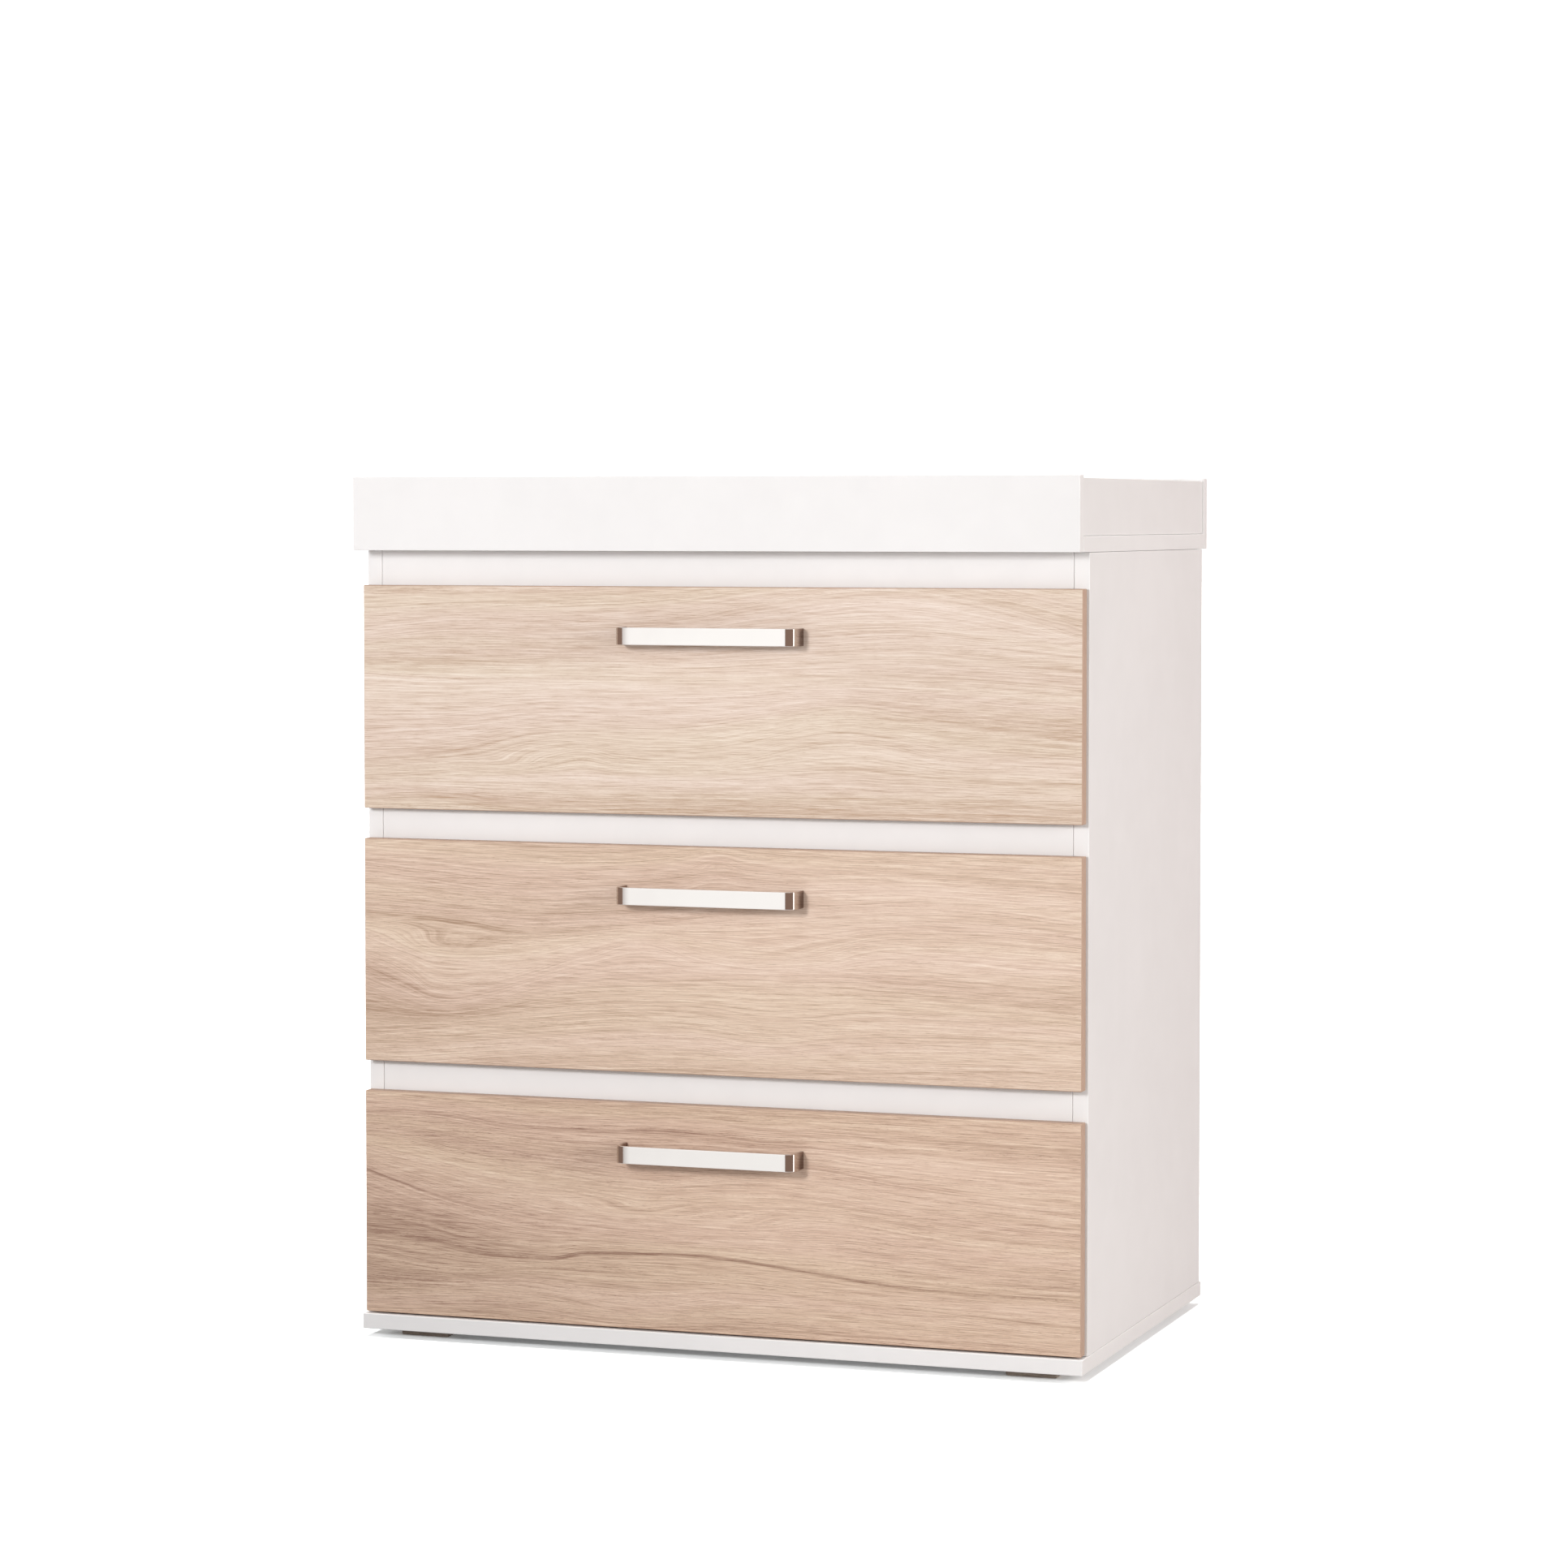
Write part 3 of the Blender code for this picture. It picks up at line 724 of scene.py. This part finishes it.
roller_shape = turned(ROLLER_PROFILE, 40)
pan_head = screw_head(0.0040, 0.0021, 0.0012)
sunk_head = screw_head(0.0030, 0.0005, 0.0003)
cam_disc = screw_head(0.0070, 0.0006, 0.0005)
for level in LEVELS:
    drawer = f"drawer_{level}"
    handle_low, handle_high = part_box(f"handle_{level}")
    front_low, front_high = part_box(f"drawer_front_{level}")
    grip = (handle_low.z + handle_high.z) / 2
    places = [(side * (handle_high.x - STRAP / 2), front_high.y, grip) for side in (-1, 1)]
    fasteners(f"handle_screws_{level}", pan_head, places, 1, 1, zinc, drawer)
    for hand, side in HANDS:
        for row, body in (("front", f"front_roller_{level}_{hand}"), ("rear", f"rear_roller_{level}_{hand}")):
            low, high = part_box(body)
            centre = (low + high) / 2
            make_piece(f"{body}_wheel", roller_shape[0] + np.array(centre), roller_shape[1], (nylon,), body,
                       replaces=(body,), crease=30)
            if row == "front":
                pin = (side * (abs(centre.x) - 0.0038), centre.y, centre.z)
                fasteners(f"front_pin_{level}_{hand}", turned(WASHER_PROFILE, 24), [pin], 0, -side, zinc,
                          "chest")
        low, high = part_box(f"chest_runner_{level}_{hand}")
        web = side * (max(abs(low.x), abs(high.x)) - SHEET)
        places = [(web, y, high.z - 0.0065) for y in (low.y + 0.045, (low.y + high.y) / 2, high.y - 0.045)]
        fasteners(f"chest_runner_screws_{level}_{hand}", sunk_head, places, 0, -side, zinc, "chest")
        low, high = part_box(f"drawer_side_{level}_{hand}")
        outer = side * (max(abs(low.x), abs(high.x)) + SHEET)
        runner_low, runner_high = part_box(f"drawer_runner_{level}_{hand}")
        middle = (runner_low.z + runner_high.z) / 2
        places = [(outer, y, middle) for y in (low.y + 0.04, (low.y + high.y) / 2, high.y - 0.05)]
        fasteners(f"drawer_runner_screws_{level}_{hand}", sunk_head, places, 0, side, zinc, drawer)
        inner = side * min(abs(low.x), abs(high.x))
        places = [(inner, low.y + 0.034, low.z + rise) for rise in (0.055, 0.150)]
        fasteners(f"cam_locks_{level}_{hand}", cam_disc, places, 0, -side, zinc, drawer)
        outer = side * max(abs(low.x), abs(high.x))
        places = [(outer, high.y - 0.006, low.z + rise) for rise in (0.060, 0.130)]
        fasteners(f"back_screws_{level}_{hand}", sunk_head, places, 0, side, zinc, drawer)
    low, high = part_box(f"drawer_bottom_{level}")
    start = np.array((low.x, front_high.y + 0.0001, low.z))
    board(f"drawer_bottom_{level}_sheet", f"drawer_bottom_{level}", (hardboard, hardboard, lacquered), drawer,
          0.0003, start)

low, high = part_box("back_panel")
across = np.linspace(low.x + NAIL_INSET, high.x - NAIL_INSET, 9)
upward = np.linspace(low.z + NAIL_INSET, high.z - NAIL_INSET, 9)
places = [(x, high.y, z) for x in across for z in (upward[0], upward[-1])]
places += [(x, high.y, z) for z in upward[1:-1] for x in (across[0], across[-1])]
fasteners("back_panel_nails", turned(NAIL_PROFILE, 10), places, 1, 1, zinc, "chest")

# ---- CAD nodes that keep their own shape --------------------------------------------------
for level in LEVELS:
    for node in (f"drawer_side_{level}_left", f"drawer_side_{level}_right", f"drawer_back_{level}"):
        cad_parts[node].data.materials[0] = melamine
    for hand, _ in HANDS:
        for node in (f"chest_runner_{level}_{hand}", f"drawer_runner_{level}_{hand}"):
            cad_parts[node].data.materials[0] = runner_enamel

# ---- floor, light and camera --------------------------------------------------------------
def make_floor():
    """A broad round floor: rings that widen outwards.

    It is studio paper, seen well past white and a quieter grey in its bounce light. Polished pieces
    do not mirror it; they see the studio's own surround.
    """
    radius = np.concatenate([[0.0], np.geomspace(0.5, 60.0, 14)])
    angle = np.linspace(0, 2 * math.pi, 48, endpoint=False)
    points = np.stack([
        radius[:, None] * np.cos(angle), radius[:, None] * np.sin(angle), np.zeros((len(radius), len(angle))),
    ], -1).reshape(-1, 3)
    points, faces = merged(points, grid_quads(len(radius), len(angle), wrap=True))
    mesh = bpy.data.meshes.new("studio_floor")
    mesh.from_pydata(points, [], without_repeats(faces))
    finish = Finish("studio paper")
    seen = finish.node("ShaderNodeLightPath")
    tone = finish.noise(finish.place()[0], 4.0, 2.0)
    bright = finish.mix(tone, (1.66, 1.7, 1.7, 1.0), (1.74, 1.78, 1.78, 1.0))
    paper = finish.node("ShaderNodeBsdfDiffuse", None, {"Color": bright})
    glow = finish.node("ShaderNodeEmission", None, {"Color": (1.0, 1.0, 1.0, 1.0), "Strength": 0.06})
    lit = finish.node("ShaderNodeAddShader", None, (paper, glow))
    _, x, y, _ = finish.place()
    # Painted shade: the floor's bounce colour falls to near black close to the chest's front-left corner, so
    # less light bounces up there.
    corner = ((x + 0.5) * (x + 0.5) + (y + 0.5) * (y + 0.5)).math("SQRT").step(0.1, 0.75)
    shade = finish.mix(corner, (0.05, 0.047, 0.045, 1.0), (0.37, 0.36, 0.355, 1.0))
    bounce = finish.node("ShaderNodeBsdfDiffuse", None, {"Color": shade})
    shown = finish.node("ShaderNodeMixShader", None, (seen, bounce, lit))
    finish.feed(finish.nodes["Material Output"].inputs["Surface"], shown)
    mesh.materials.append(finish.material)
    floor = bpy.data.objects.new("studio_floor", mesh)
    floor.visible_glossy = False
    bpy.context.scene.collection.objects.link(floor)


def sun(name, azimuth, elevation, spread, strength, colour):
    """A broad far light; azimuth is measured from the front towards the right."""
    light = bpy.data.lights.new(name, "SUN")
    light.energy = strength
    light.angle = math.radians(spread)
    light.color = colour
    lamp = bpy.data.objects.new(name, light)
    turn, rise = math.radians(azimuth), math.radians(elevation)
    lamp.rotation_euler = (math.pi / 2 - rise, 0.0, turn)
    lamp.visible_glossy = False
    bpy.context.scene.collection.objects.link(lamp)


def softbox(name, place, aim, size, power, colour):
    """A square area light at place, facing aim."""
    light = bpy.data.lights.new(name, "AREA")
    light.energy = power
    light.size = size
    light.color = colour
    lamp = bpy.data.objects.new(name, light)
    lamp.location = place
    lamp.rotation_euler = (Vector(aim) - Vector(place)).to_track_quat("-Z", "Y").to_euler()
    lamp.visible_glossy = False
    bpy.context.scene.collection.objects.link(lamp)


def make_studio():
    """White backdrop, walls that give soft light, and a patterned surround for polished metal.

    Soft light fades above the walls. Polished pieces see, going round from the front to the right:
    a bright screen left of the front, a dark room, a bright strip at the right, then dark again. High
    and low they see a paler ceiling and floor.
    """
    world = bpy.data.worlds.new("studio")
    world.use_nodes = True
    sky = Tree(world.node_tree)
    sky.nodes.clear()
    split = sky.node("ShaderNodeSeparateXYZ", values=(sky.node("ShaderNodeTexCoord"),)).socket.node
    x, y, z = (Signal(sky, split.outputs[axis]) for axis in range(3))
    azimuth = x.math("ARCTAN2", y * -1.0) * (180 / math.pi)
    rise = z.math("ARCSINE") * (180 / math.pi)
    walls = 1 - rise.step(10.0, 48.0) * 0.92
    right = azimuth.step(20.0, 80.0) * (1 - azimuth.step(120.0, 170.0))
    soft = walls * (0.70 + right * 0.86)
    screen = azimuth.step(-27.0, -21.5) * (1 - azimuth.step(-17.0, -8.0))
    strip = azimuth.step(80.0, 86.0) * (1 - azimuth.step(95.0, 100.0))
    low = (rise * -1.0).step(0.0, 13.0)
    beyond = rise.math("ABSOLUTE").step(12.0, 30.0)
    glow = (screen + strip + beyond * 0.7).limited()
    polish = sky.mix(glow, (0.34, 0.235, 0.19, 1.0), (1.62, 1.74, 1.82, 1.0))
    ray = sky.node("ShaderNodeLightPath").socket.node
    seen, glossy = (Signal(sky, ray.outputs[f"Is {kind} Ray"]) for kind in ("Camera", "Glossy"))
    diffuse = sky.node("ShaderNodeBackground", None, {"Color": (1.0, 0.955, 0.925, 1.0), "Strength": soft})
    brightness = 1 - low * 0.19 + strip * 0.7
    mirrored = sky.node("ShaderNodeBackground", None, {"Color": polish, "Strength": brightness})
    backdrop = sky.node("ShaderNodeBackground", None, {"Color": (1.0, 1.0, 1.0, 1.0), "Strength": 1.5})
    unseen = sky.node("ShaderNodeMixShader", None, (glossy, diffuse, mirrored))
    shown = sky.node("ShaderNodeMixShader", None, (seen, unseen, backdrop))
    sky.node("ShaderNodeOutputWorld", None, (shown,), None)
    bpy.context.scene.world = world


make_floor()
make_studio()
softbox("front light", (-0.66, -3.5, 1.45), (0.0, -0.3, 0.6), 0.55, 59.0, (0.985, 1.0, 1.02))
sun("top light", 0, 90, 24, 2.2, (1.0, 1.0, 1.0))
softbox("right light", (3.0, -1.25, 0.9), (0.44, -0.1, 0.5), 1.2, 29.0, (1.0, 0.995, 0.985))
softbox("left light", (-3.0, 0.45, 0.9), (-0.44, 0.0, 0.5), 1.4, 24.0, (1.0, 0.985, 0.975))
softbox("rear light", (1.9, 1.2, 0.75), (0.44, 0.25, 0.5), 0.8, 1.8, (1.0, 0.50, 0.55))

scene = bpy.context.scene
scene.view_settings.view_transform = "Standard"
scene.view_settings.look = "None"

CAMERA_TURN = 19.4677        # degrees, to the right of the front
CAMERA_TILT = 2.4713         # degrees, looking down
camera_data = bpy.data.cameras.new("camera")
camera_data.sensor_width = 36.0
camera_data.lens = 100.6422
camera_data.shift_y = -0.05
camera = bpy.data.objects.new("camera", camera_data)
camera.location = (1.7351, -4.9258, 0.9639)
camera.rotation_euler = (math.radians(90 - CAMERA_TILT), 0.0, math.radians(CAMERA_TURN))
scene.collection.objects.link(camera)
scene.camera = camera
